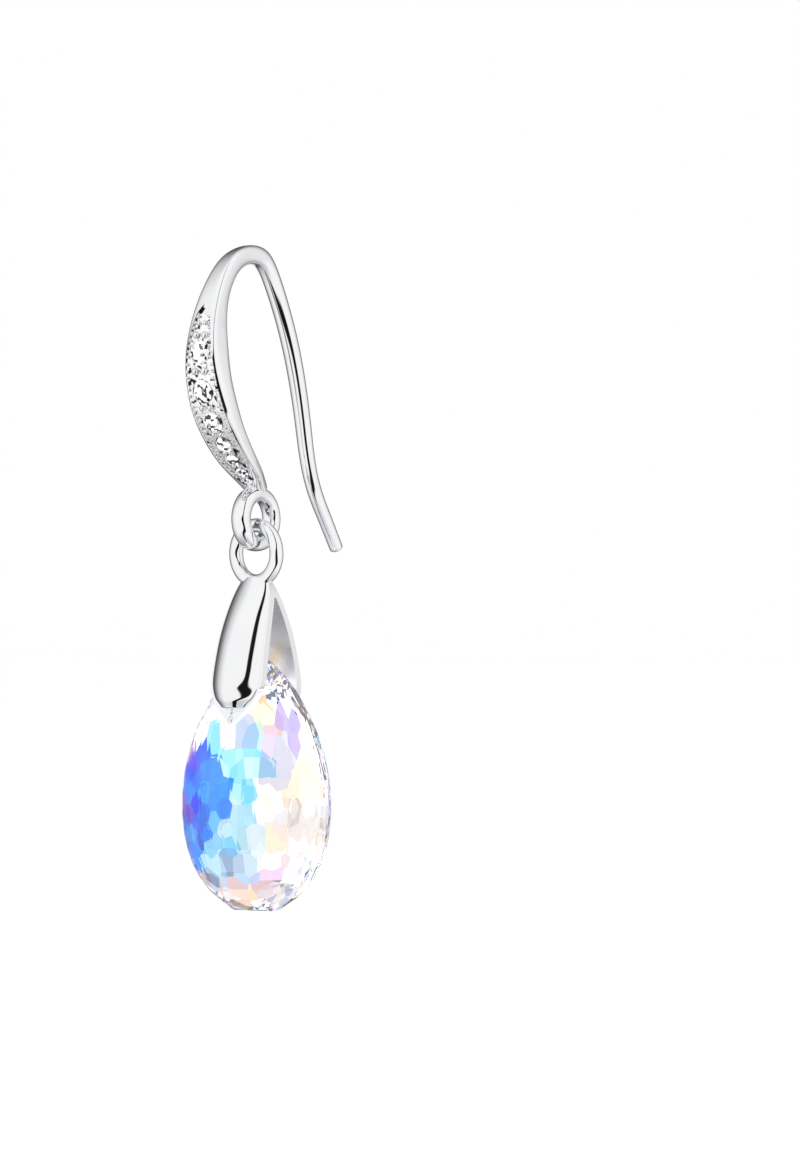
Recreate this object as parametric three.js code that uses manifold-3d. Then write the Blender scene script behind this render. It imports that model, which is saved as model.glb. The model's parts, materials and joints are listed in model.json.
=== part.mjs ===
import * as THREE from 'three';
import { mergeVertices } from 'three/addons/utils/BufferGeometryUtils.js';
import Module from 'manifold-3d';

// A drop earring: an open ear hook with a paved front band, a pinch bail and a pear crystal.
// Millimetres. +Z is up, the paved front faces -Y, the wire's tail is at +Y, and the crystal is
// wide along X. The origin is the underside of the hook's arch, where it sits in the ear.

const X_AXIS = new THREE.Vector3(1, 0, 0);
const Y_AXIS = new THREE.Vector3(0, 1, 0);

// The plane that the drop hangs in, behind the origin.
const DROP_Y = 0.28;

// Sections of the hook, from the loop up the band, over the arch and down the wire to the tail.
// y, z: the section's centre. wide: along X. deep: across the curve. square: 2 is an ellipse.
const HOOK_SECTIONS = [
  { y: 0.35, z: -13.9, wide: 1.5, deep: 0.85, square: 2.6 },
  { y: -0.62, z: -13.0, wide: 2.25, deep: 0.74, square: 4 },
  { y: -1.6, z: -12.12, wide: 2.62, deep: 0.9, square: 5 },
  { y: -3.13, z: -10.35, wide: 2.86, deep: 1.2, square: 6 },
  { y: -4.12, z: -8.5, wide: 2.84, deep: 1.7, square: 6.5 },
  { y: -4.6, z: -6.75, wide: 2.6, deep: 1.83, square: 6.5 },
  { y: -4.64, z: -4.75, wide: 2.2, deep: 1.66, square: 6 },
  { y: -4.07, z: -2.4, wide: 1.7, deep: 1.26, square: 5 },
  { y: -3.23, z: -0.95, wide: 1.42, deep: 1.18, square: 4 },
  { y: -2.33, z: -0.05, wide: 1.26, deep: 1.18, square: 3.6 },
  { y: -1.2, z: 0.48, wide: 1.15, deep: 1.2, square: 3 },
  { y: 0, z: 0.61, wide: 1.15, deep: 1.22, square: 2.6 },
  { y: 0.8, z: 0.4, wide: 1.15, deep: 1.2, square: 2.3 },
  { y: 1.35, z: -0.1, wide: 1.15, deep: 1.17, square: 2.1 },
  { y: 1.98, z: -1.05, wide: 1.15, deep: 1.15, square: 2 },
  { y: 2.9, z: -2.8, wide: 1.12, deep: 1.12, square: 2 },
  { y: 3.85, z: -5.05, wide: 1.1, deep: 1.1, square: 2 },
  { y: 4.6, z: -7.5, wide: 1.06, deep: 1.06, square: 2 },
  { y: 5.15, z: -9.95, wide: 1.02, deep: 1.02, square: 2 },
  { y: 5.8, z: -12.75, wide: 0.96, deep: 0.96, square: 2 },
  { y: 6.45, z: -14.2, wide: 0.93, deep: 0.93, square: 2 },
  { y: 7.25, z: -15.45, wide: 0.9, deep: 0.9, square: 2 },
  { y: 8.6, z: -17.5, wide: 0.86, deep: 0.86, square: 2 },
];
const HOOK_STEPS = 66;
const HOOK_SIDES = 16;
const TAIL_ROUNDING = 0.12;

// The closed loop under the band, in the plane of the hook. It is thicker in front.
const LOOP = { z: -15.74, radius: 1.55, wide: 1.22, frontDeep: 1.05, backDeep: 0.85 };
const LOOP_STEPS = 32;
const LOOP_SIDES = 12;

// The channel sunk in the band's front, from one section to another, and the paved strip in it.
const CHANNEL = { from: 0.55, to: 6.75, rim: 0.2, sunk: 0.38, overshoot: 0.6 };
const CHANNEL_STEPS = 26;
const PAVE_GAP = 0.08;
const PAVE_THICK = 0.26;

// The bail's ring crosses the loop, in the plane of the crystal.
const RING = { z: -17.88, halfWide: 1.57, halfHigh: 1.74, wire: 0.88 };
const RING_STEPS = 32;
const RING_SIDES = 12;

// One leaf of the bail, from the ring to its tip. half: half its width. out: how far its border
// stands from the middle. dome: how far the face swells past the border. rim: the flat border.
const LEAF_SECTIONS = [
  { z: -19.35, half: 0.92, out: 0.08, dome: 0.38, rim: 0.03 },
  { z: -19.9, half: 1.22, out: 0.28, dome: 0.52, rim: 0.06 },
  { z: -21.4, half: 1.62, out: 0.86, dome: 0.88, rim: 0.1 },
  { z: -23.1, half: 1.82, out: 1.45, dome: 1.08, rim: 0.13 },
  { z: -24.8, half: 1.92, out: 1.85, dome: 1.18, rim: 0.14 },
  { z: -25.6, half: 1.95, out: 2, dome: 1.18, rim: 0.15 },
  { z: -26.15, half: 1.89, out: 2.12, dome: 1.13, rim: 0.17 },
  { z: -26.6, half: 1.75, out: 2.22, dome: 1.02, rim: 0.2 },
  { z: -27, half: 1.54, out: 2.32, dome: 0.84, rim: 0.26 },
  { z: -27.3, half: 1.3, out: 2.39, dome: 0.6, rim: 0.34 },
  { z: -27.55, half: 1.05, out: 2.46, dome: 0.26, rim: 0.48 },
  { z: -27.9, half: 0.68, out: 2.56, dome: 0.06, rim: 0.4 },
  { z: -28.4, half: 0.16, out: 2.7, dome: 0.03, rim: 0.06 },
];
// The dome's section falls off as this power of a circle's, which gives it steep flanks.
const DOME_POWER = 1.6;
const LEAF_THICK = 0.48;
const NARROWEST_GAP = 0.04;
const GAP_OVERSHOOT = 0.5;
const LEAF_STEPS = 30;
const DOME_STEPS = 8;

// The pins on the insides of the leaves, and the hole through the crystal that they enter.
const PIN = { z: -26.4, radius: 0.4, tip: 0.35, root: 1.85 };
const HOLE_RADIUS = 0.6;
const HOLE_SIDES = 16;

// The pear crystal: its widest level, the heights above and below it, and its half sizes.
const CRYSTAL = { z: -33.45, above: 9.3, below: 6.57, halfWide: 5.4, halfThick: 2.85 };
const SHOULDER = 0.61;
const BELLY = 2.2;
const THINNING = 0.92;

// Rings of flat facets. lean: degrees from the outline's plane towards the front or back.
const GIRDLE = { count: 48, lean: 0, turn: 0 };
const FACET_RINGS = [
  { count: 24, lean: 25, turn: 0.5 },
  { count: 14, lean: 44, turn: 0.5 },
  { count: 10, lean: 63, turn: 0 },
  { count: 4, lean: 80, turn: 0 },
];

// Edges shorter than this, left where solids are joined, are closed up.
const SMALLEST_EDGE = 0.004;

const wasm = await Module();
wasm.setup();

function polishedMetal() {
  return new THREE.MeshStandardMaterial({ color: 0xd9dbde, roughness: 0.08, metalness: 1 });
}

function pavedStones() {
  return new THREE.MeshStandardMaterial({ color: 0xf2f4f6, roughness: 0.2, metalness: 0.4 });
}

function clearCrystal() {
  return new THREE.MeshStandardMaterial({ color: 0x9ccdf2, roughness: 0.02, metalness: 0 });
}

// A closed mesh as a solid that can be cut and joined.
function solidOf(geometry) {
  const bare = geometry.clone();
  bare.deleteAttribute('normal');
  bare.deleteAttribute('uv');
  const merged = mergeVertices(bare, 1e-5);
  return new wasm.Manifold(new wasm.Mesh({
    numProp: 3,
    vertProperties: new Float32Array(merged.attributes.position.array),
    triVerts: new Uint32Array(merged.index.array),
  }));
}

function geometryOf(solid) {
  const mesh = solid.simplify(SMALLEST_EDGE).getMesh();
  const geometry = new THREE.BufferGeometry();
  geometry.setAttribute('position', new THREE.BufferAttribute(mesh.vertProperties, 3));
  geometry.setIndex(new THREE.BufferAttribute(mesh.triVerts, 1));
  geometry.computeVertexNormals();
  return geometry;
}

// A closed skin over rings of points, capped at both ends unless it comes round to its start.
function skin(rings, comesRound) {
  const positions = [];
  const sides = rings[0].length;
  const spans = comesRound ? rings.length : rings.length - 1;
  const at = (i, j) => rings[i % rings.length][j % sides];
  const triangle = (a, b, c) => positions.push(...a, ...b, ...c);
  for (let i = 0; i < spans; i++) {
    for (let j = 0; j < sides; j++) {
      triangle(at(i, j), at(i + 1, j), at(i, j + 1));
      triangle(at(i, j + 1), at(i + 1, j), at(i + 1, j + 1));
    }
  }
  if (!comesRound) {
    const last = rings.length - 1;
    const hub = (ring) => ring
      .reduce((sum, point) => sum.add(point), new THREE.Vector3())
      .divideScalar(sides);
    const firstHub = hub(rings[0]);
    const lastHub = hub(rings[last]);
    for (let j = 0; j < sides; j++) {
      triangle(firstHub, at(0, j), at(0, j + 1));
      triangle(lastHub, at(last, j + 1), at(last, j));
    }
  }
  const geometry = new THREE.BufferGeometry();
  geometry.setAttribute('position', new THREE.Float32BufferAttribute(positions, 3));
  return geometry;
}

// A rounded section: square 2 is an ellipse, and larger numbers come nearer to a rectangle.
function roundedSection({ centre, across, out, wide, deep, square }, sides) {
  const ring = [];
  for (let j = 0; j < sides; j++) {
    const angle = 2 * Math.PI * j / sides;
    const c = Math.cos(angle);
    const s = Math.sin(angle);
    const u = Math.sign(c) * Math.abs(c) ** (2 / square) * wide / 2;
    const v = Math.sign(s) * Math.abs(s) ** (2 / square) * deep / 2;
    ring.push(centre.clone().addScaledVector(across, u).addScaledVector(out, v));
  }
  return ring;
}

// The hook's smooth centre line and sizes, read at a section number such as 2.5.
const hookLine = new THREE.CatmullRomCurve3(
  HOOK_SECTIONS.map(({ y, z }) => new THREE.Vector3(0, y, z)), false, 'catmullrom', 0.5);
const hookSizes = new THREE.CatmullRomCurve3(
  HOOK_SECTIONS.map(({ wide, deep, square }) => new THREE.Vector3(wide, deep, square)),
  false, 'catmullrom', 0.5);

function hookAt(section) {
  const t = section / (HOOK_SECTIONS.length - 1);
  const size = hookSizes.getPoint(t);
  return {
    centre: hookLine.getPoint(t),
    across: X_AXIS,
    out: X_AXIS.clone().cross(hookLine.getTangent(t)),
    wide: size.x,
    deep: size.y,
    square: size.z,
  };
}

function hookBar() {
  const last = HOOK_SECTIONS.length - 1;
  const rings = [];
  for (let i = 0; i <= HOOK_STEPS; i++) {
    rings.push(roundedSection(hookAt(last * i / HOOK_STEPS), HOOK_SIDES));
  }
  const tail = hookAt(last);
  const beyond = tail.centre.clone().addScaledVector(hookLine.getTangent(1), TAIL_ROUNDING);
  const tip = { ...tail, centre: beyond, wide: tail.wide * 0.7, deep: tail.deep * 0.7 };
  rings.push(roundedSection(tip, HOOK_SIDES));
  return solidOf(skin(rings, false));
}

function hookLoop() {
  const rings = [];
  for (let i = 0; i < LOOP_STEPS; i++) {
    const angle = 2 * Math.PI * i / LOOP_STEPS;
    const out = new THREE.Vector3(0, -Math.cos(angle), Math.sin(angle));
    const middle = new THREE.Vector3(0, DROP_Y, LOOP.z);
    const front = (1 + Math.cos(angle)) / 2;
    rings.push(roundedSection({
      centre: middle.addScaledVector(out, LOOP.radius),
      across: X_AXIS,
      out,
      wide: LOOP.wide,
      deep: LOOP.backDeep + (LOOP.frontDeep - LOOP.backDeep) * front,
      square: 2.2,
    }, LOOP_SIDES));
  }
  return solidOf(skin(rings, true));
}

// A bar along the band's front, between two depths under its face, that narrows to both ends.
function frontBar({ inset, bottom, top }) {
  const rings = [];
  for (let i = 0; i <= CHANNEL_STEPS; i++) {
    const share = i / CHANNEL_STEPS;
    const shrink = inset / (CHANNEL.to - CHANNEL.from);
    const section = THREE.MathUtils.lerp(
      CHANNEL.from + shrink, CHANNEL.to - shrink, share);
    const { centre, across, out, wide, deep } = hookAt(section);
    const ends = Math.min(1, Math.sqrt(1 - (2 * share - 1) ** 6) + 0.12);
    const half = (wide / 2 - CHANNEL.rim) * ends - inset;
    const corner = (side, depth) => centre.clone()
      .addScaledVector(across, side * half)
      .addScaledVector(out, deep / 2 + depth);
    rings.push([corner(1, bottom), corner(1, top), corner(-1, top), corner(-1, bottom)]);
  }
  return solidOf(skin(rings, false));
}

function earHook() {
  const channel = frontBar({ inset: 0, bottom: -CHANNEL.sunk, top: CHANNEL.overshoot });
  return geometryOf(hookBar().add(hookLoop()).subtract(channel));
}

function paveStrip() {
  const bottom = PAVE_GAP - CHANNEL.sunk;
  return geometryOf(frontBar({ inset: PAVE_GAP, bottom, top: bottom + PAVE_THICK }));
}

function bailRing() {
  const rings = [];
  for (let i = 0; i < RING_STEPS; i++) {
    const angle = 2 * Math.PI * i / RING_STEPS;
    const x = Math.sin(angle);
    const z = Math.cos(angle);
    const out = new THREE.Vector3(x * RING.halfHigh, 0, z * RING.halfWide).normalize();
    rings.push(roundedSection({
      centre: new THREE.Vector3(x * RING.halfWide, DROP_Y, RING.z + z * RING.halfHigh),
      across: Y_AXIS.clone().negate(),
      out,
      wide: RING.wire,
      deep: RING.wire,
      square: 2,
    }, RING_SIDES));
  }
  return solidOf(skin(rings, true));
}

// The bail's smooth profile at each step from the ring down to the tips of the leaves.
function leafProfile() {
  const shape = new THREE.CatmullRomCurve3(
    LEAF_SECTIONS.map(({ z, half, out }) => new THREE.Vector3(half, out, z)),
    false, 'catmullrom', 0.5);
  const swell = new THREE.CatmullRomCurve3(
    LEAF_SECTIONS.map(({ dome, rim }) => new THREE.Vector3(dome, rim, 0)),
    false, 'catmullrom', 0.5);
  return Array.from({ length: LEAF_STEPS + 1 }, (_, i) => {
    const { x: half, y: out, z } = shape.getPoint(i / LEAF_STEPS);
    const { x: dome, y: rim } = swell.getPoint(i / LEAF_STEPS);
    return { half, out, z, dome, rim };
  });
}

// Both leaves as one block: a flat border all round, and a dome in front and behind.
function leafBlock() {
  return solidOf(skin(leafProfile().map(({ half, out, z, dome, rim }) => {
    const ring = [];
    for (const side of [1, -1]) {
      ring.push(new THREE.Vector3(side * half, DROP_Y + side * out, z));
      for (let k = 0; k <= DOME_STEPS; k++) {
        const angle = Math.PI * k / DOME_STEPS;
        const x = (half - rim) * Math.cos(angle);
        const y = out + dome * Math.sin(angle) ** DOME_POWER;
        ring.push(new THREE.Vector3(side * x, DROP_Y + side * y, z));
      }
      ring.push(new THREE.Vector3(-side * half, DROP_Y + side * out, z));
    }
    return ring;
  }), false));
}

// The wedge of air between the leaves, which opens below the neck.
function leafGap() {
  const open = leafProfile().filter(({ out }) => out > LEAF_THICK + NARROWEST_GAP);
  const below = { ...open[open.length - 1] };
  below.z -= GAP_OVERSHOOT;
  const reach = GAP_OVERSHOOT + Math.max(...LEAF_SECTIONS.map(({ half }) => half));
  return solidOf(skin([...open, below].map(({ out, z }) => {
    const gap = out - LEAF_THICK;
    const corner = (x, y) => new THREE.Vector3(x * reach, DROP_Y + y * gap, z);
    return [corner(1, -1), corner(1, 1), corner(-1, 1), corner(-1, -1)];
  }), false));
}

// side is -1 for the front leaf's pin and 1 for the back one's.
function bailPin(side) {
  const length = PIN.root - PIN.tip;
  const pin = new THREE.CylinderGeometry(PIN.radius, PIN.radius, length, HOLE_SIDES);
  pin.translate(0, DROP_Y + side * (PIN.tip + length / 2), PIN.z);
  return solidOf(pin);
}

function pinchBail() {
  const leaves = leafBlock().subtract(leafGap());
  return geometryOf(bailRing().add(leaves).add(bailPin(-1)).add(bailPin(1)));
}

// The pear's half width and half thickness at a height over its widest level.
function pearAt(height) {
  if (height < 0) {
    const round = (1 - (-height / CRYSTAL.below) ** BELLY) ** (1 / BELLY);
    return { half: CRYSTAL.halfWide * round, thick: CRYSTAL.halfThick * round };
  }
  const fall = Math.cos(Math.PI / 2 * height / CRYSTAL.above);
  return {
    half: CRYSTAL.halfWide * fall ** SHOULDER,
    thick: CRYSTAL.halfThick * fall ** THINNING,
  };
}

// Points all over the smooth pear that the facets are ground from.
function pearPoints() {
  const points = [];
  const levels = 60;
  for (let i = 0; i <= levels; i++) {
    const low = -CRYSTAL.below;
    const swing = Math.cos(Math.PI * i / levels);
    const height = (CRYSTAL.above + low) / 2 + swing * (CRYSTAL.above - low) / 2;
    const { half, thick } = pearAt(Math.min(height, CRYSTAL.above * 0.9999));
    for (let k = 0; k < 48; k++) {
      const angle = 2 * Math.PI * k / 48;
      points.push(new THREE.Vector3(half * Math.cos(angle), thick * Math.sin(angle), height));
    }
  }
  return points;
}

// The outline's own direction where a ray from the middle at this angle meets the pear.
function outlineNormal(angle) {
  const step = 0.01;
  const ray = (a) => {
    let reach = CRYSTAL.above;
    for (let k = 0; k < 40; k++) {
      const { half } = pearAt(THREE.MathUtils.clamp(
        reach * Math.cos(a), -CRYSTAL.below * 0.9999, CRYSTAL.above * 0.9999));
      const over = Math.abs(reach * Math.sin(a)) - half;
      reach -= THREE.MathUtils.clamp(over, -1, 1) * 0.4;
    }
    return new THREE.Vector2(reach * Math.sin(a), reach * Math.cos(a));
  };
  const along = ray(angle + step).sub(ray(angle - step)).normalize();
  return new THREE.Vector3(-along.y, 0, along.x).negate();
}

function pearCrystal() {
  const points = pearPoints();
  const size = 4 * CRYSTAL.above;
  let solid = solidOf(new THREE.BoxGeometry(size, size, size));
  const grind = (normal) => {
    const depth = Math.max(...points.map((point) => point.dot(normal)));
    solid = solid.trimByPlane(normal.clone().negate().toArray(), -depth);
  };
  const grindRing = ({ count, lean, turn }, side) => {
    for (let i = 0; i < count; i++) {
      const edge = outlineNormal(2 * Math.PI * (i + turn) / count);
      const tilt = THREE.MathUtils.degToRad(lean);
      grind(edge.multiplyScalar(Math.cos(tilt)).addScaledVector(Y_AXIS, side * Math.sin(tilt)));
    }
  };
  grindRing(GIRDLE, 1);
  FACET_RINGS.forEach((ring) => [-1, 1].forEach((side) => grindRing(ring, side)));
  const drill = new THREE.CylinderGeometry(HOLE_RADIUS, HOLE_RADIUS, size, HOLE_SIDES);
  drill.translate(0, 0, PIN.z - CRYSTAL.z);
  return geometryOf(solid.subtract(solidOf(drill)));
}

function named(name, geometry, material) {
  const mesh = new THREE.Mesh(geometry, material);
  mesh.name = name;
  return mesh;
}

const earring = new THREE.Group();
earring.add(named('ear_hook', earHook(), polishedMetal()));
earring.add(named('pave_strip', paveStrip(), pavedStones()));
earring.add(named('pinch_bail', pinchBail(), polishedMetal()));
const crystal = named('crystal_drop', pearCrystal(), clearCrystal());
crystal.position.set(0, DROP_Y, CRYSTAL.z);
earring.add(crystal);

export default earring;
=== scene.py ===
import json
import math

import bmesh
import bpy
import numpy as np
from mathutils import Matrix, Vector


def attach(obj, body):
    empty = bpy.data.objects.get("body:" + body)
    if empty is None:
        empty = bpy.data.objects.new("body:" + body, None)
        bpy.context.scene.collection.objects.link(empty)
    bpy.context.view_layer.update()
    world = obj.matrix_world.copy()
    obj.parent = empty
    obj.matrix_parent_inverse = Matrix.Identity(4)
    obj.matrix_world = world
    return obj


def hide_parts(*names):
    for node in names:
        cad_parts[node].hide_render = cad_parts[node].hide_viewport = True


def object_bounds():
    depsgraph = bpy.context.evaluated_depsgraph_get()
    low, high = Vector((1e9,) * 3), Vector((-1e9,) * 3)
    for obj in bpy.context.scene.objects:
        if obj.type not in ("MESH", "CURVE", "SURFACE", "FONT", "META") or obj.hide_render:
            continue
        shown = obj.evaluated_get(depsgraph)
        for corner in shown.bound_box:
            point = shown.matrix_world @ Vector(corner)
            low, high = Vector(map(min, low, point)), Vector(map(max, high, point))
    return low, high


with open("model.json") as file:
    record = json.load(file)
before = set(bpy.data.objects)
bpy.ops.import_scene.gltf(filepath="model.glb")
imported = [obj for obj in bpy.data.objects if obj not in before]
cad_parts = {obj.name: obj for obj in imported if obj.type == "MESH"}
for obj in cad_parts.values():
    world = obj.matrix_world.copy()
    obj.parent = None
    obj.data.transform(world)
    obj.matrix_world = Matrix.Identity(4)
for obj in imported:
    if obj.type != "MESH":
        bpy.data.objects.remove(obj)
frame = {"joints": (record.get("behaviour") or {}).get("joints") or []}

cad_low, cad_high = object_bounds()

# ---- Ear hook ----------------------------------------------------------------------------
# One cast and drawn piece of rhodium-plated silver, polished bright. A flat-sided band with a
# sunk channel in its front runs up over the arch, goes round, and becomes the back wire. The
# small closed loop under the band is soldered on.
MM = 0.001
# Points nearer than this are one point. Metal that turns by more degrees shows an edge.
SAME_POINT = 0.0015
METAL_CREASE = 32
joint_at = {joint["name"]: Vector(joint["pos_m"]) / MM for joint in frame["joints"]}
DROP_Y = joint_at["drop_swing"].y


def smooth_rows(rows, steps):
    """Rows of numbers run through with even curvature, so many steps to each stretch."""
    rows = np.array(rows, float)
    gap = np.linalg.norm(np.diff(rows[:, :2], axis=0), axis=1)
    solve = np.eye(len(rows))
    bend = np.zeros_like(rows)
    for i in range(1, len(rows) - 1):
        solve[i, i - 1 : i + 2] = gap[i - 1], 2 * (gap[i - 1] + gap[i]), gap[i]
        rise = (rows[i + 1] - rows[i]) / gap[i]
        bend[i] = 6 * (rise - (rows[i] - rows[i - 1]) / gap[i - 1])
    bend = np.linalg.solve(solve, bend)
    made = []
    for i in range(len(gap)):
        for b in np.linspace(0, 1, steps, endpoint=False):
            a = 1 - b
            swing = (a**3 - a) * bend[i] + (b**3 - b) * bend[i + 1]
            made.append(a * rows[i] + b * rows[i + 1] + gap[i] ** 2 / 6 * swing)
    return np.array([*made, rows[-1]])


def around(count, turn=0):
    """The cosine and sine of even steps round a circle."""
    angles = [2 * math.pi * (i + turn) / count for i in range(count)]
    return [(math.cos(angle), math.sin(angle)) for angle in angles]


def made_piece(name, mesh):
    """An object made of this mesh, with its faces turned outwards."""
    data = bpy.data.meshes.new(name)
    bmesh.ops.recalc_face_normals(mesh, faces=mesh.faces)
    mesh.to_mesh(data)
    mesh.free()
    piece = bpy.data.objects.new(name, data)
    bpy.context.collection.objects.link(piece)
    return piece


def skin_mesh(name, rings, comes_round=False):
    """A closed mesh over rings of points, in millimetres, with its ends capped."""
    mesh = bmesh.new()
    loops = [[mesh.verts.new(Vector(p) * MM) for p in ring] for ring in rings]
    pairs = list(zip(loops, loops[1:]))
    if comes_round:
        pairs.append((loops[-1], loops[0]))
    for low, high in pairs:
        for i in range(len(low)):
            j = (i + 1) % len(low)
            mesh.faces.new((low[i], low[j], high[j], high[i]))
    if not comes_round:
        for ring in (loops[0], loops[-1]):
            hub = sum((v.co for v in ring), Vector()) / len(ring)
            middle = mesh.verts.new(hub)
            for i in range(len(ring)):
                mesh.faces.new((ring[i], ring[(i + 1) % len(ring)], middle))
    bmesh.ops.remove_doubles(mesh, verts=mesh.verts, dist=SAME_POINT * MM)
    return made_piece(name, mesh)


def carve(piece, other, how):
    """Joins another closed piece to this one, or cuts it away, and takes the other out."""
    tool = piece.modifiers.new("carve", "BOOLEAN")
    tool.object = other
    tool.operation = how
    tool.solver = "EXACT"
    found = piece.evaluated_get(bpy.context.evaluated_depsgraph_get())
    made = bpy.data.meshes.new_from_object(found)
    piece.modifiers.clear()
    piece.data = made
    bpy.data.objects.remove(other)


def shade(piece, crease):
    """Smooth faces, with an edge wherever two meet at more than so many degrees."""
    piece.data.shade_smooth()
    piece.data.set_sharp_from_angle(angle=math.radians(crease))


class Value:
    """A shader's number, on which plain arithmetic makes Math nodes."""

    def __init__(self, finish, socket):
        self.finish = finish
        self.socket = socket

    def sum_of(self, operation, *values):
        """The Math node for one operation on these numbers."""
        inputs = dict(enumerate(values))
        return self.finish.node("ShaderNodeMath", {"operation": operation}, inputs)

    def __add__(self, other):
        return self.sum_of("ADD", self, other)

    def __mul__(self, other):
        return self.sum_of("MULTIPLY", self, other)

    def __sub__(self, other):
        return self.sum_of("SUBTRACT", self, other)

    def __rsub__(self, other):
        return self.sum_of("SUBTRACT", other, self)

    def __truediv__(self, other):
        return self.sum_of("DIVIDE", self, other)

    def __rtruediv__(self, other):
        return self.sum_of("DIVIDE", other, self)

    def __abs__(self):
        return self.sum_of("ABSOLUTE", self)

    __radd__ = __add__
    __rmul__ = __mul__


class Finish:
    """A material, or the world, whose nodes are all made by one method."""

    def __init__(self, name, tree=None):
        if tree is None:
            self.material = bpy.data.materials.new(name)
            self.material.use_nodes = True
            tree = self.material.node_tree
        self.tree = tree
        tree.nodes.clear()

    def node(self, kind, settings, inputs, output=0):
        """A node with its settings first, and then its sockets' values and links."""
        made = self.tree.nodes.new(kind)
        for key, setting in settings.items():
            if key == "stops":
                ramp = made.color_ramp
                while len(ramp.elements) < len(setting):
                    ramp.elements.new(1)
                for stop, (place, colour) in zip(ramp.elements, setting):
                    stop.position = place
                    stop.color = colour
            else:
                setattr(made, key, setting)
        for key, value in inputs.items():
            if isinstance(value, Value):
                self.tree.links.new(value.socket, made.inputs[key])
            else:
                made.inputs[key].default_value = value
        return None if output is None else Value(self, made.outputs[output])

    def place(self):
        """Where a point is on the piece as it was made."""
        return self.node("ShaderNodeTexCoord", {}, {}, "Object")

    def noise(self, size, detail):
        """Soft noise whose lumps are about this size, in millimetres."""
        inputs = {"Vector": self.place(), "Scale": 1 / (size * MM), "Detail": detail}
        return self.node("ShaderNodeTexNoise", {}, inputs, "Fac")

    def mix(self, share, low, high, blend="MIX"):
        """A colour between two others, or one multiplied by the other."""
        settings = {"data_type": "RGBA", "blend_type": blend}
        return self.node("ShaderNodeMix", settings, {0: share, 6: low, 7: high}, 2)

    def fade(self, value, low, high, start, end):
        """A number that goes softly from start to end as the value goes from low to high."""
        inputs = {"Value": value, "From Min": low, "From Max": high}
        inputs.update({"To Min": start, "To Max": end})
        return self.node("ShaderNodeMapRange", {"interpolation_type": "SMOOTHSTEP"}, inputs)

    def ramp(self, value, stops):
        """A colour read off a row of stops."""
        return self.node("ShaderNodeValToRGB", {"stops": stops}, {"Fac": value})

    def show(self, surface, kind="ShaderNodeOutputMaterial"):
        """Ends the tree in its output."""
        self.node(kind, {}, {"Surface": surface}, None)


def polished_metal(name, colour, dull):
    """Bright rhodium plate, with the faint waves that a polishing wheel leaves.

    Faces marked as inner were left as they came from the casting, and are duller.
    """
    finish = Finish(name)
    inner = finish.node("ShaderNodeAttribute", {"attribute_name": "inner"}, {}, "Fac")
    waves = finish.noise(2.2, 1)
    wear = finish.noise(0.5, 2)
    bump = {"Strength": 0.12, "Distance": 0.02 * MM, "Height": waves}
    surface = {
        "Base Color": finish.mix(waves, (*colour, 1), (*(c * 0.95 for c in colour), 1)),
        "Metallic": 1,
        "Roughness": dull + 0.03 * wear + 0.3 * inner,
        "Normal": finish.node("ShaderNodeBump", {}, bump, "Normal"),
    }
    finish.show(finish.node("ShaderNodeBsdfPrincipled", {}, surface))
    return finish.material


# Sections from the loop up the band, over the arch and down the wire to its tail.
# y and z of the centre, width along X, depth across the curve, and squareness (2 is round).
HOOK_ROWS = (
    (0.35, -13.9, 1.5, 0.85, 2.6),
    (-0.62, -13.0, 2.25, 0.74, 4),
    (-1.6, -12.12, 2.62, 0.9, 5),
    (-3.13, -10.35, 2.9, 1.2, 5),
    (-4.12, -8.5, 2.94, 1.7, 3.8),
    (-4.6, -6.75, 2.7, 1.83, 3.9),
    (-4.64, -4.75, 2.2, 1.66, 6),
    (-4.07, -2.4, 1.7, 1.26, 5),
    (-3.23, -0.95, 1.42, 1.18, 4),
    (-2.33, -0.05, 1.26, 1.18, 3.6),
    (-1.2, 0.48, 1.15, 1.2, 3),
    (0, 0.61, 1.15, 1.22, 2.6),
    (0.8, 0.4, 1.15, 1.2, 2.3),
    (1.35, -0.1, 1.15, 1.17, 2.1),
    (1.98, -1.05, 1.15, 1.15, 2),
    (2.9, -2.8, 1.12, 1.12, 2),
    (3.85, -5.05, 1.1, 1.1, 2),
    (4.6, -7.5, 1.06, 1.06, 2),
    (5.15, -9.95, 1.02, 1.02, 2),
    (5.8, -12.75, 0.96, 0.96, 2),
    (6.45, -14.2, 0.93, 0.93, 2),
    (7.25, -15.45, 0.9, 0.9, 2),
    (8.6, -17.5, 0.86, 0.86, 2),
)
LOOP = {"z": -15.74, "radius": 1.55, "wide": 1.22, "front": 1.05, "back": 0.85, "square": 2.4}
LOOP_STEPS, LOOP_SIDES = 96, 32
# The channel's ends, counted in rows of the table above, its rims and its depth.
CHANNEL_ROWS = (0.5, 6.8)
CHANNEL_RIM, CHANNEL_SUNK = 0.27, 0.2
SIDE_POINTS = 36
LIP = 0.03
ROW_STEPS = 12
# How far to each side the hook's line is felt for its direction.
FEELER = 0.05

hook_line = smooth_rows(HOOK_ROWS, ROW_STEPS)
hook_run = np.r_[0, np.cumsum(np.linalg.norm(np.diff(hook_line[:, :2], axis=0), axis=1))]
channel_ends = np.interp(
    np.array(CHANNEL_ROWS) * ROW_STEPS, np.arange(len(hook_run)), hook_run)


def hook_at(run):
    """The hook's frame and sizes this far along its line from the loop, in millimetres."""
    y, z, wide, deep, square = (np.interp(run, hook_run, c) for c in hook_line.T)
    ahead = [np.interp(run + FEELER, hook_run, c) for c in hook_line.T[:2]]
    behind = [np.interp(run - FEELER, hook_run, c) for c in hook_line.T[:2]]
    along = Vector((0, ahead[0] - behind[0], ahead[1] - behind[1])).normalized()
    out = Vector((1, 0, 0)).cross(along)
    return Vector((0, y, z)), along, out, wide, deep, square


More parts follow.
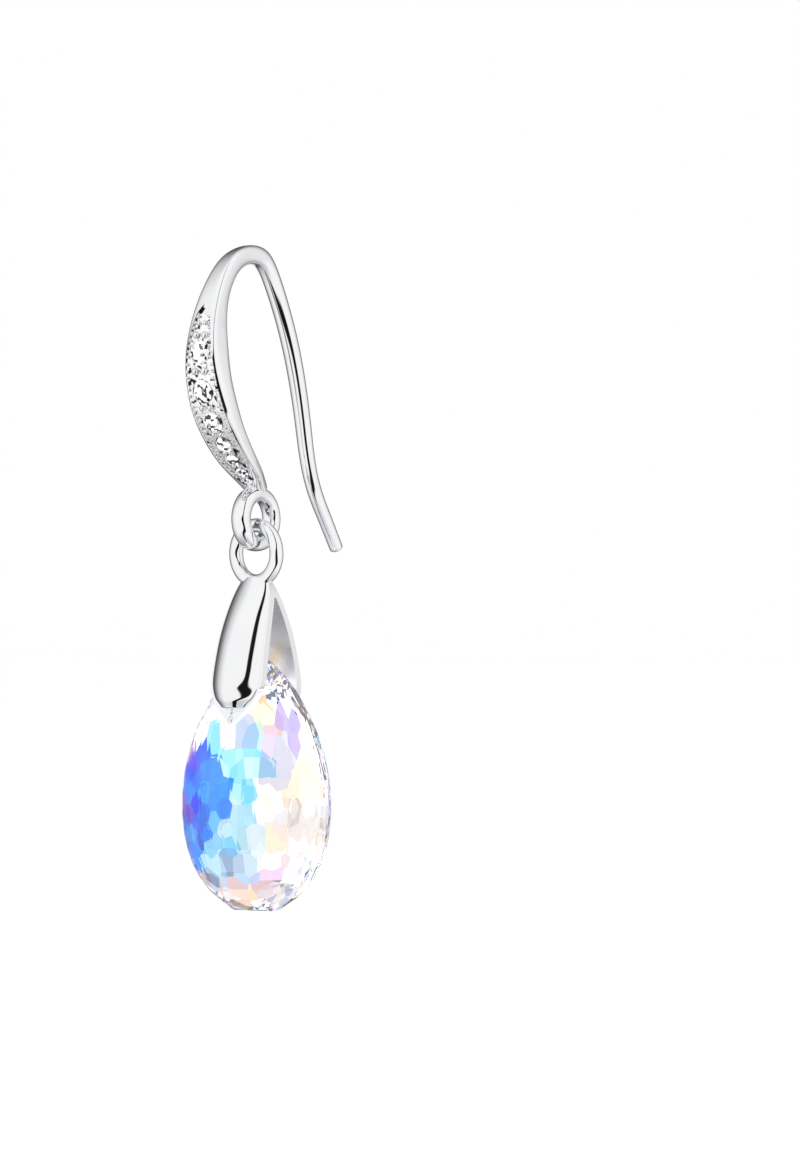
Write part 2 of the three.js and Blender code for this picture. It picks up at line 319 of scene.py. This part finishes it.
def channel_at(run, wide):
    """How wide, to each side, and how deep the channel is this far along."""
    share = (run - channel_ends[0]) / (channel_ends[1] - channel_ends[0])
    ends = math.sqrt(max(0, 1 - abs(2 * share - 1) ** 7))
    return max(0.1, (wide / 2 - CHANNEL_RIM) * ends), CHANNEL_SUNK * min(1, 2.5 * ends)


def hook_ring(run, shrink=1):
    """The section's points: a rounded bar with the channel in its front."""
    centre, _, out, wide, deep, square = hook_at(run)
    half, thick = shrink * wide / 2, shrink * deep / 2
    channel, sunk = channel_at(run, wide)
    lip = min(LIP, sunk / 3)
    edge = min(0.98 * half, channel + lip)
    start = math.acos((edge / half) ** (square / 2))
    points = []
    for i in range(SIDE_POINTS + 1):
        angle = start - i * (math.pi + 2 * start) / SIDE_POINTS
        c, s = math.cos(angle), math.sin(angle)
        u = math.copysign(half * abs(c) ** (2 / square), c)
        v = math.copysign(thick * abs(s) ** (2 / square), s)
        points.append((u, v))
    top = points[0][1]
    inner = edge - lip
    points += [(-inner, top - lip), (-inner, top - sunk)]
    points += [(inner * share, top - sunk) for share in (-0.5, 0, 0.5)]
    points += [(inner, top - sunk), (inner, top - lip)]
    return [centre + Vector((u, 0, 0)) + out * v for u, v in points]


hook_rings = [hook_ring(run) for run in hook_run]
# The tail's end is rounded: how far past the last row each ring is, and how much smaller.
tail_run = hook_run[-1] - 0.001
tail_way = hook_at(tail_run)[1]
for beyond, shrink in ((0.07, 0.93), (0.12, 0.78), (0.14, 0.6)):
    hook_rings.append([point + tail_way * beyond for point in hook_ring(tail_run, shrink)])
ear_hook = skin_mesh("hook", hook_rings)

loop_rings = []
for ahead, aloft in around(LOOP_STEPS):
    out = Vector((0, -ahead, aloft))
    deep = LOOP["back"] + (LOOP["front"] - LOOP["back"]) * (1 + ahead) / 2
    centre = Vector((0, DROP_Y, LOOP["z"])) + out * LOOP["radius"]
    ring = []
    for c, s in around(LOOP_SIDES):
        u = math.copysign(LOOP["wide"] / 2 * abs(c) ** (2 / LOOP["square"]), c)
        v = math.copysign(deep / 2 * abs(s) ** (2 / LOOP["square"]), s)
        ring.append(centre + Vector((u, 0, 0)) + out * v)
    loop_rings.append(ring)
carve(ear_hook, skin_mesh("loop", loop_rings, comes_round=True), "UNION")
shade(ear_hook, METAL_CREASE)
ear_hook.data.materials.clear()
ear_hook.data.materials.append(polished_metal("hook_rhodium", (0.93, 0.935, 0.945), 0.03))
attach(ear_hook, "hook")
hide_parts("ear_hook")

# ---- Paved stones and their beads ----------------------------------------------------------
# Small round clear stones, graduated down the band, sunk in the channel. Pairs of beads raised
# from the metal and burnished over hold them, and the rough floor shows between.
# The height of each stone's middle, and its diameter.
STONE_ROWS = (
    (-5.58, 1.5),
    (-8.0, 1.5),
    (-9.92, 1.4),
    (-11.25, 1.2),
    (-12.2, 1.02),
    (-12.98, 0.86),
    (-13.52, 0.66),
)
# The height of each pair of beads, and a bead's radius.
BEAD_ROWS = (
    (-3.75, 0.17),
    (-4.5, 0.24),
    (-6.75, 0.25),
    (-9.0, 0.22),
    (-10.6, 0.19),
    (-11.75, 0.16),
    (-12.55, 0.14),
    (-13.2, 0.12),
)
# How high over the channel's floor the stones and beads sit, and the rough floor's face.
STONE_RISE, FLOOR_RISE = 0.12, 0.05
BACK_TIP = 0.4
# How far inside the channel's two ends the rough floor and the edge beads stop.
FLOOR_INSIDE = (0.25, 0.5)
EDGE_INSIDE = (0.4, 0.5)
# The smallest and largest radius of an edge bead, and the step to the next.
EDGE_RADIUS = (0.09, 0.13)
EDGE_STEP = (0.3, 0.42)
EDGE_BEADS_IN, PAIR_SPREAD = 0.1, 1.4
SCRAP_SIZE = 0.2

band_runs = np.linspace(*channel_ends, 400)
band_fronts = []
for run in band_runs:
    centre, _, out, _, deep, _ = hook_at(run)
    band_fronts.append((centre + out * deep / 2).z)


def run_at(height):
    """How far along the hook its front face is at this height, on the band."""
    return float(np.interp(height, band_fronts, band_runs))


def frame_on_band(run, rise):
    """A frame on the channel: X across, Z out of the band, at a height over the floor."""
    centre, along, out, _, deep, _ = hook_at(run)
    across = Vector((1, 0, 0))
    at = centre + out * (deep / 2 - CHANNEL_SUNK + rise)
    turn = Matrix((across, along, out)).transposed().to_4x4()
    return Matrix.Translation(at * MM) @ turn


def brilliant(mesh, matrix, radius):
    """Adds a round cut stone: a table, two rows of crown facets, a girdle and a short back."""
    rows = ((8, 0, 0.56, 0.34), (8, 0.5, 0.84, 0.2), (16, 0, 1, 0.03), (16, 0, 1, -0.04))
    made = []
    for count, turn, reach, height in rows:
        for c, s in around(count, turn):
            spot = Vector((c * reach, s * reach, height))
            made.append(mesh.verts.new(matrix @ (spot * radius * MM)))
    made.append(mesh.verts.new(matrix @ Vector((0, 0, -BACK_TIP * radius * MM))))
    bmesh.ops.convex_hull(mesh, input=made)


# The rough floor's section: a thin strip, a little fuller along its middle.
FLOOR_SECTION = (
    (-1, -0.04), (1, -0.04), (1, 0), (0.5, 0.02), (0, 0.03), (-0.5, 0.02), (-1, 0))
floor_rings = []
floor_ends = (channel_ends[0] + FLOOR_INSIDE[0], channel_ends[1] - FLOOR_INSIDE[1])
for run in np.linspace(*floor_ends, 90):
    centre, _, out, wide, deep, _ = hook_at(run)
    half = channel_at(run, wide)[0]
    level = centre + out * (deep / 2 - CHANNEL_SUNK + FLOOR_RISE)
    floor_rings.append([level + Vector((u * half, 0, 0)) + out * v for u, v in FLOOR_SECTION])
milled_floor = skin_mesh("milled_floor", floor_rings)
shade(milled_floor, 40)
finish = Finish("milled_rhodium")
cuts = finish.noise(0.3, 1)
bump = {"Strength": 0.5, "Distance": 0.12 * MM, "Height": cuts}
# Painted shade: the deepest cuts are painted dark, for the shade that falls in them.
painted_cut_shade = finish.ramp(cuts, (
    (0.37, (0.02, 0.02, 0.03, 1)),
    (0.41, (0.55, 0.56, 0.58, 1)),
    (0.46, (1.0, 1.0, 1.0, 1)),
))
finish.show(finish.node("ShaderNodeBsdfPrincipled", {}, {
    "Base Color": painted_cut_shade,
    "Metallic": 1,
    "Roughness": 0.1 + 0.15 * cuts,
    "Normal": finish.node("ShaderNodeBump", {}, bump, "Normal"),
}))
milled_floor.data.materials.append(finish.material)
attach(milled_floor, "hook")

stones = bmesh.new()
for height, across in STONE_ROWS:
    brilliant(stones, frame_on_band(run_at(height), STONE_RISE), across / 2)
pave_stones = made_piece("pave_stones", stones)
finish = Finish("pave_painted_sparkle")
# The stones are opaque. The mosaic of bright and dark scraps that a cut stone's back facets show
# is painted into their colour, as painted reflections.
scraps = {"Vector": finish.place(), "Scale": 1 / (SCRAP_SIZE * MM)}
glint = finish.node("ShaderNodeTexVoronoi", {}, scraps, "Color")
painted_facet_reflections = finish.ramp(glint, (
    (0.32, (0.01, 0.01, 0.02, 1)),
    (0.37, (0.35, 0.36, 0.38, 1)),
    (0.44, (0.9, 0.91, 0.93, 1)),
    (0.50, (1.0, 1.0, 1.0, 1)),
))
finish.show(finish.node("ShaderNodeBsdfPrincipled", {}, {
    "Base Color": painted_facet_reflections,
    "Metallic": 0.3,
    "Roughness": 0.02 + 0.06 * glint,
    "Coat Weight": 1,
}))
pave_stones.data.materials.append(finish.material)
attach(pave_stones, "hook")
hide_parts("pave_strip")

beads = bmesh.new()
draw = np.random.default_rng(3)


def bead(run, aside, radius):
    """Adds one bead on the channel's floor, this far to the side of its middle."""
    spot = Matrix.Translation((aside * MM, 0, 0))
    bmesh.ops.create_uvsphere(
        beads, u_segments=20, v_segments=12, radius=radius * MM,
        matrix=frame_on_band(run, STONE_RISE) @ spot)


for height, radius in BEAD_ROWS:
    for side in (-1, 1):
        bead(run_at(height), side * radius * PAIR_SPREAD, radius)
run = channel_ends[0] + EDGE_INSIDE[0]
while run < channel_ends[1] - EDGE_INSIDE[1]:
    half = channel_at(run, hook_at(run)[3])[0]
    for side in (-1, 1):
        bead(run, side * (half - EDGE_BEADS_IN), draw.uniform(*EDGE_RADIUS))
    run += draw.uniform(*EDGE_STEP)
pave_beads = made_piece("pave_beads", beads)
shade(pave_beads, 60)
pave_beads.data.materials.append(polished_metal("bead_rhodium", (0.9, 0.905, 0.915), 0.05))
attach(pave_beads, "hook")

# ---- Pinch bail ----------------------------------------------------------------------------
# One cast piece of the same bright metal. Its ring hangs in the hook's loop, and two domed
# leaves with a flat border close on the crystal, each with a plain pin in the drilled hole.
RING = {"z": -17.88, "half_wide": 1.57, "half_high": 1.74, "wire": 0.88}
# Height, half width, how far the border stands from the middle, the dome's swell, the border.
LEAF_ROWS = (
    (-19.35, 0.92, 0.08, 0.38, 0.03),
    (-19.9, 1.22, 0.28, 0.52, 0.06),
    (-21.4, 1.62, 0.86, 0.88, 0.1),
    (-23.1, 1.82, 1.45, 1.08, 0.13),
    (-24.8, 1.92, 1.85, 1.18, 0.14),
    (-25.6, 1.95, 2.0, 1.18, 0.15),
    (-26.15, 1.89, 2.12, 1.13, 0.17),
    (-26.6, 1.75, 2.22, 1.02, 0.2),
    (-27.0, 1.54, 2.32, 0.84, 0.26),
    (-27.3, 1.3, 2.39, 0.6, 0.34),
    (-27.5, 1.1, 2.44, 0.34, 0.48),
    (-27.62, 0.98, 2.48, 0.0, 0.9),
    (-27.9, 0.68, 2.56, 0.0, 0.64),
    (-28.4, 0.16, 2.7, 0.0, 0.12),
)
LEAF_THICK = 0.48
# The space between the leaves starts where it is this wide, and the cutter is oversize.
NARROWEST_GAP, GAP_REACH, GAP_OVERSHOOT = 0.04, 3, 0.5
DOME_POINTS = 28
DOME_POWER = 1.6
RING_STEPS, RING_SIDES, PIN_SIDES = 96, 28, 24
# Under this level the leaves' inner sides were left unpolished.
DULL_LEVEL = -20.4
PIN = {"z": joint_at["crystal_rock"].z, "radius": 0.4, "tip": 0.35, "root": 1.85}

leaf_line = smooth_rows(LEAF_ROWS, 14)
leaf_rings = []
for z, half, out, dome, rim in leaf_line:
    ring = []
    for side in (1, -1):
        ring.append((side * half, DROP_Y + side * out, z))
        for k in range(DOME_POINTS + 1):
            angle = math.pi * k / DOME_POINTS
            x = (half - rim) * math.cos(angle)
            y = out + dome * max(0, math.sin(angle)) ** DOME_POWER
            ring.append((side * x, DROP_Y + side * y, z))
        ring.append((-side * half, DROP_Y + side * out, z))
    leaf_rings.append(ring)
pinch_bail = skin_mesh("bail", leaf_rings)

gap_rings = []
corners = ((1, -1), (1, 1), (-1, 1), (-1, -1))
for z, _, out, *_ in [*leaf_line, leaf_line[-1] - (GAP_OVERSHOOT, 0, 0, 0, 0)]:
    gap = out - LEAF_THICK
    if gap > NARROWEST_GAP:
        gap_rings.append([(x * GAP_REACH, DROP_Y + y * gap, z) for x, y in corners])
carve(pinch_bail, skin_mesh("gap", gap_rings), "DIFFERENCE")

ring_rings = []
for aloft, aside in around(RING_STEPS):
    out = Vector((aside * RING["half_high"], 0, aloft * RING["half_wide"])).normalized()
    centre = Vector((aside * RING["half_wide"], DROP_Y, RING["z"] + aloft * RING["half_high"]))
    ring_rings.append([
        centre + RING["wire"] / 2 * (Vector((0, c, 0)) + out * s) for c, s in around(RING_SIDES)
    ])
carve(pinch_bail, skin_mesh("ring", ring_rings, comes_round=True), "UNION")


def rod_rings(radius, levels, sides):
    """Rings of a rod along Y through the drilled hole: each level's place and its size."""
    return [
        [(radius * size * c, y, PIN["z"] + radius * size * s) for c, s in around(sides)]
        for y, size in levels
    ]


for side in (-1, 1):
    levels = ((PIN["tip"], 0.8), (PIN["tip"] + 0.08, 1), (PIN["root"], 1))
    levels = [(DROP_Y + side * y, size) for y, size in levels]
    pin_rings = rod_rings(PIN["radius"], levels, PIN_SIDES)
    carve(pinch_bail, skin_mesh("pin", pin_rings), "UNION")
shade(pinch_bail, METAL_CREASE)
inner = pinch_bail.data.attributes.new("inner", "FLOAT", "FACE")
for face, value in zip(pinch_bail.data.polygons, inner.data):
    middle = face.center / MM - Vector((0, DROP_Y, 0))
    faces_in = face.normal.y * middle.y < -0.3 * abs(middle.y)
    value.value = float(faces_in and middle.z < DULL_LEVEL)
pinch_bail.data.materials.clear()
pinch_bail.data.materials.append(polished_metal("bail_rhodium", (0.93, 0.935, 0.945), 0.03))
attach(pinch_bail, "bail")
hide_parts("pinch_bail")

# ---- Pear crystal --------------------------------------------------------------------------
# Clear machine-cut glass in a pear outline, ground flat facet by facet on both sides and
# drilled through near its top. A vapour coating gives it blue, violet and gold flashes.
CRYSTAL = {"z": -33.45, "above": 9.3, "below": 6.57, "half_wide": 5.4, "half_thick": 2.85}
SHOULDER, THINNING, BELLY = 0.61, 0.92, 2.2
# Facets in the ring, their lean from the outline's plane, and the turn of the first one.
FACET_ROWS = (
    (30, 18, 0.5),
    (30, 27, 0),
    (30, 35, 0.5),
    (24, 43, 0),
    (24, 50, 0.5),
    (20, 56, 0),
    (20, 62, 0.5),
    (15, 67, 0),
    (15, 72, 0.5),
    (10, 77, 0),
    (8, 81, 0.5),
    (5, 85, 0),
    (3, 88, 0.5),
)
GIRDLE_FACETS = 48
HOLE_RADIUS, HOLE_SIDES = 0.6, 28
PEAR_LEVELS, PEAR_SIDES = 90, 48
# The block of glass that the pear is ground from, and half the drill's length.
BLOCK, DRILL_HALF = 40, 4


def pear_at(height):
    """The smooth pear's half width and half thickness at a height over its widest level."""
    if height < 0:
        full = (1 - (-height / CRYSTAL["below"]) ** BELLY) ** (1 / BELLY)
        return CRYSTAL["half_wide"] * full, CRYSTAL["half_thick"] * full
    fall = max(0, math.cos(math.pi / 2 * height / CRYSTAL["above"]))
    return CRYSTAL["half_wide"] * fall**SHOULDER, CRYSTAL["half_thick"] * fall**THINNING


def edge_normal(angle):
    """The outline's own direction where a ray from its middle at this angle meets it."""
    ends = []
    for turn in (angle - 0.01, angle + 0.01):
        reach = CRYSTAL["above"]
        for _ in range(60):
            height = max(-CRYSTAL["below"], min(CRYSTAL["above"], reach * math.cos(turn)))
            over = abs(reach * math.sin(turn)) - pear_at(height * 0.9999)[0]
            reach -= 0.4 * max(-1, min(1, over))
        ends.append(Vector((reach * math.sin(turn), 0, reach * math.cos(turn))))
    along = (ends[1] - ends[0]).normalized()
    return Vector((along.z, 0, -along.x))


pear_points = []
for height in np.linspace(-CRYSTAL["below"], CRYSTAL["above"], PEAR_LEVELS):
    half, thick = pear_at(height)
    pear_points += [(half * c, thick * s, height) for c, s in around(PEAR_SIDES)]
pear_points = np.array(pear_points)

facets = [edge_normal(2 * math.pi * i / GIRDLE_FACETS) for i in range(GIRDLE_FACETS)]
for count, lean, turn in FACET_ROWS:
    for side in (-1, 1):
        for i in range(count):
            edge = edge_normal(2 * math.pi * (i + turn) / count)
            tilt = math.radians(lean)
            facets.append(edge * math.cos(tilt) + Vector((0, side * math.sin(tilt), 0)))

cut = bmesh.new()
bmesh.ops.create_cube(cut, size=BLOCK)
for facet in facets:
    depth = float((pear_points @ np.array(facet)).max())
    bmesh.ops.bisect_plane(
        cut, geom=[*cut.verts, *cut.edges, *cut.faces], dist=1e-5,
        plane_co=facet * depth, plane_no=facet, clear_outer=True)
    rim_edges = [e for e in cut.edges if e.is_boundary]
    if rim_edges:
        bmesh.ops.holes_fill(cut, edges=rim_edges)
bmesh.ops.remove_doubles(cut, verts=cut.verts, dist=1e-3)
bmesh.ops.transform(
    cut, verts=cut.verts,
    matrix=Matrix.Translation(Vector((0, DROP_Y, CRYSTAL["z"])) * MM) @ Matrix.Scale(MM, 4))
crystal = made_piece("crystal", cut)

ends = ((DROP_Y - DRILL_HALF, 1), (DROP_Y + DRILL_HALF, 1))
hole_rings = rod_rings(HOLE_RADIUS, ends, HOLE_SIDES)
carve(crystal, skin_mesh("drill", hole_rings), "DIFFERENCE")

# The coat's colour as light through both sides shows it, by how far across the face is: partly
# the coating's own tint, partly its blue reflection painted onto the left of the back.
COAT_FLASHES = (
    (-5.3, (0.45, 0.3, 0.8)),
    (-4.9, (0.1, 0.18, 0.93)),
    (-4.5, (0.0, 0.32, 1.0)),
    (-3.9, (0.0, 0.44, 1.0)),
    (-3.2, (0.02, 0.52, 1.0)),
    (-2.7, (0.35, 0.75, 1.0)),
    (-1.9, (0.68, 0.89, 1.0)),
    (-1.0, (0.9, 0.95, 1.0)),
    (-0.2, (0.98, 0.98, 1.0)),
)
# Softer flashes painted on the front facets as painted reflections: where each is from the
# middle, its reach and its colour.
FLASHES = (
    (2.9, 2.4, 1.2, (0.78, 0.77, 0.81)),
    (2.2, 3.8, 0.8, (0.84, 0.78, 0.98)),
    (3.4, 4.5, 0.8, (0.7, 0.66, 0.98)),
    (3.9, 3.2, 0.8, (1.0, 0.94, 0.8)),
    (-0.4, 4.4, 1.3, (0.86, 0.95, 1.0)),
    (0.6, 2.9, 1.3, (0.72, 0.9, 1.0)),
    (1.2, 1.0, 1.0, (0.84, 0.95, 1.0)),
    (4.4, 1.4, 1.1, (0.95, 0.87, 0.78)),
    (4.6, -1.2, 1.0, (0.95, 0.92, 0.88)),
    (1.6, -1.8, 1.2, (0.98, 0.97, 0.95)),
    (-1.4, -4.4, 0.8, (0.88, 0.86, 0.88)),
    (2.2, -4.2, 0.9, (0.9, 0.84, 0.98)),
)
# The nearly clear tints of all the other facets. The front ones are half as strong.
FRONT_SHARE = 0.5
PALES = (
    (1.0, 1.0, 1.0),
    (1.0, 1.0, 1.0),
    (0.98, 0.97, 1.0),
    (0.97, 0.98, 0.98),
    (0.88, 0.87, 0.9),
    (0.93, 0.89, 0.99),
    (1.0, 0.95, 0.86),
    (1.0, 0.93, 0.91),
    (0.87, 0.95, 1.0),
)
# Painted dark reflections: the darker scraps painted where the facets crowd together at the
# bottom.
DARKS = (
    (1.0, 1.0, 1.0),
    (0.98, 0.96, 1.0),
    (0.6, 0.55, 0.52),
    (0.45, 0.55, 0.75),
    (0.8, 0.8, 0.82),
    (1.0, 0.9, 0.78),
)
DARK_HIGH = -5
COAT_LOW, COAT_HIGH = -3.6, 3.4
# How far the blue runs left lower down, how unevenly, and how squarely a coated facet lies.
COAT_SLANT, COAT_SPREAD, COAT_SQUARE = 0.25, 0.65, 0.6
draw = np.random.default_rng(7)


def coat_and_flash_colour(middle, normal):
    """The colour of one facet: blue on the left of the back, painted there as the coating's
    reflection, and nearly clear elsewhere.
    """
    pale = np.array(PALES[draw.integers(len(PALES))])
    if normal.y < 0:
        for x, z, reach, colour in FLASHES:
            if math.hypot(middle.x - x, middle.z - z) < reach:
                return np.array(colour)
        return 1 - (1 - pale) * FRONT_SHARE
    if middle.z < DARK_HIGH:
        return np.array(DARKS[draw.integers(len(DARKS))])
    if not COAT_LOW < middle.z < COAT_HIGH:
        return pale**2
    across = middle.x + COAT_SLANT * max(0, -middle.z) + draw.normal(0, COAT_SPREAD)
    if normal.y < COAT_SQUARE or across > COAT_FLASHES[-1][0]:
        return pale
    places, colours = zip(*COAT_FLASHES)
    return np.array([np.interp(across, places, part) for part in zip(*colours)])


# A clear material weakens its colour at each side that light goes through, so this power
# deepens the tints.
TINT_POWER = 4
coat_and_flash_layer = crystal.data.attributes.new("coat", "FLOAT_COLOR", "FACE")
for face, value in zip(crystal.data.polygons, coat_and_flash_layer.data):
    middle = face.center / MM - Vector((0, DROP_Y, CRYSTAL["z"]))
    value.color = (*(coat_and_flash_colour(middle, face.normal) ** TINT_POWER), 1)

finish = Finish("cut_crystal")
coat = finish.node("ShaderNodeAttribute", {"attribute_name": "coat"}, {}, "Color")
finish.show(finish.node("ShaderNodeBsdfPrincipled", {}, {
    "Base Color": coat,
    "Roughness": 0.0,
    "IOR": 1.4,
    "Transmission Weight": 1,
    # Painted light: the facets glow faintly in their own colours, though the glass is no lamp.
    "Emission Color": coat,
    "Emission Strength": 0.05,
}))
crystal.data.materials.clear()
crystal.data.materials.append(finish.material)
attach(crystal, "crystal")
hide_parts("crystal_drop")

# ---- Studio --------------------------------------------------------------------------------
# A plain pale floor under the hanging drop, a white tent of soft light, and a long lens.
FLOOR_DROP, FLOOR_SIZE = 30 * MM, 6
bpy.ops.mesh.primitive_plane_add(size=FLOOR_SIZE, location=(0, 0, cad_low.z - FLOOR_DROP))
floor = bpy.context.object
floor.name = "floor"
finish = Finish("pale_floor")
grain = finish.noise(40, 3)
finish.show(finish.node("ShaderNodeBsdfPrincipled", {}, {
    "Base Color": finish.mix(grain, (0.96, 0.96, 0.96, 1), (0.98, 0.98, 0.98, 1)),
    "Roughness": 0.6,
}))
floor.data.materials.append(finish.material)
floor.visible_glossy = False

VIEW_AZIMUTH = math.radians(36)
right = Vector((math.cos(VIEW_AZIMUTH), math.sin(VIEW_AZIMUTH), 0))
back = Vector((math.sin(VIEW_AZIMUTH), -math.cos(VIEW_AZIMUTH), 0))
world = bpy.data.worlds.new("tent")
bpy.context.scene.world = world
world.use_nodes = True
finish = Finish("tent", world.node_tree)
toward = finish.node("ShaderNodeTexCoord", {}, {}, "Generated")


def share_of(direction):
    """How far a ray of light comes from this direction, from -1 to 1."""
    settings = {"operation": "DOT_PRODUCT"}
    return finish.node("ShaderNodeVectorMath", settings, {0: toward, 1: direction}, "Value")


facing, across, up = share_of(back), share_of(right), share_of(Vector((0, 0, 1)))
turned = finish.node("ShaderNodeMath", {"operation": "ARCTAN2"}, {0: across, 1: facing})
turned = turned * math.degrees(1)
# The lens looks in through a dark slit, which bends to the right a little under its level.
height = up * 0.5 + 0.5
lean = (finish.fade(height, 0.05, 0.28, -30, 20) - finish.fade(height, 0.28, 0.5, 0, 20)
        + finish.fade(height, 0.5, 0.72, 0, 15))
width = finish.fade(height, 0.48, 0.64, 18, 7.5)
slit = finish.fade(abs(turned - lean) / width, 0.75, 1.25, 0.01, 1)
# Black cards stand round the backdrop, just out of view, and draw the edges.
cards = finish.ramp(facing * 0.5 + 0.5, (
    (0.0, (1, 1, 1, 1)),
    (0.011, (1, 1, 1, 1)),
    (0.028, (0.14, 0.14, 0.15, 1)),
    (0.09, (0.14, 0.14, 0.15, 1)),
    (0.19, (0.4, 0.4, 0.41, 1)),
    (0.33, (0.84, 0.84, 0.85, 1)),
    (0.5, (0.98, 0.98, 0.98, 1)),
    (0.6, (1.0, 1.0, 1.0, 1)),
))
shade_left = finish.fade(turned, -125, -75, 0.74, 1)
shade_low = finish.fade(up, -0.95, -0.6, 0.65, 1)
metal_light = finish.mix(1.0, cards, slit * shade_left * shade_low, "MULTIPLY")
flecks = finish.node("ShaderNodeTexNoise", {}, {"Vector": toward, "Scale": 5, "Detail": 1})
crystal_light = finish.ramp(flecks, (
    (0.28, (0.30, 0.36, 0.5, 1)),
    (0.38, (0.82, 0.83, 0.93, 1)),
    (0.46, (1, 1, 1, 1)),
    (0.58, (1, 1, 1, 1)),
    (0.66, (1.0, 0.92, 0.82, 1)),
    (0.74, (0.88, 0.76, 0.62, 1)),
))
# Light that went through the crystal has its own flecks. The backdrop itself is plain white.
depth = finish.node("ShaderNodeLightPath", {}, {}, "Transmission Depth")
plain = finish.node("ShaderNodeLightPath", {}, {}, "Is Camera Ray")
diffuse = finish.node("ShaderNodeLightPath", {}, {}, "Is Diffuse Ray")
through = finish.node("ShaderNodeMath", {"operation": "MINIMUM"}, {0: depth, 1: 1})
white = finish.node("ShaderNodeMath", {"operation": "MAXIMUM"}, {0: plain, 1: diffuse})
light = finish.mix(through, metal_light, crystal_light)
light = finish.mix(white, light, (1, 1, 1, 1))
tent = finish.node("ShaderNodeBackground", {}, {"Color": light, "Strength": 1.0 + 0.2 * diffuse})
finish.show(tent, "ShaderNodeOutputWorld")
LAMP_AWAY = 0.5


def softbox(name, azimuth, elevation, size, watts):
    """A square soft light aimed at the earring from half a metre away."""
    a, e = math.radians(azimuth), math.radians(elevation)
    away = Vector((math.sin(a) * math.cos(e), -math.cos(a) * math.cos(e), math.sin(e)))
    lamp = bpy.data.lights.new(name, "AREA")
    lamp.size = size
    lamp.energy = watts
    holder = bpy.data.objects.new(name, lamp)
    holder.location = (cad_low + cad_high) / 2 + away * LAMP_AWAY
    holder.rotation_euler = away.to_track_quat("Z", "Y").to_euler()
    holder.visible_glossy = False
    bpy.context.collection.objects.link(holder)


softbox("softbox_left", -35, 35, 0.35, 1.0)
softbox("softbox_right", 100, 30, 0.3, 0.8)

# A long lens. It takes in this much height at the earring, which hangs left of the middle.
LENS, SENSOR = 200, 36
VIEW_TALL = 71.86 * MM
AIM_RIGHT = 9.08 * MM
AIM_LEVEL = -19.5 * MM
camera = bpy.data.objects.new("camera", bpy.data.cameras.new("camera"))
bpy.context.collection.objects.link(camera)
camera.data.lens = LENS
camera.data.sensor_width = SENSOR
aim = right * AIM_RIGHT + Vector((0, 0, AIM_LEVEL))
camera.location = aim + back * (VIEW_TALL * LENS / SENSOR)
camera.rotation_euler = back.to_track_quat("Z", "Y").to_euler()
bpy.context.scene.camera = camera
bpy.context.scene.view_settings.view_transform = "Standard"
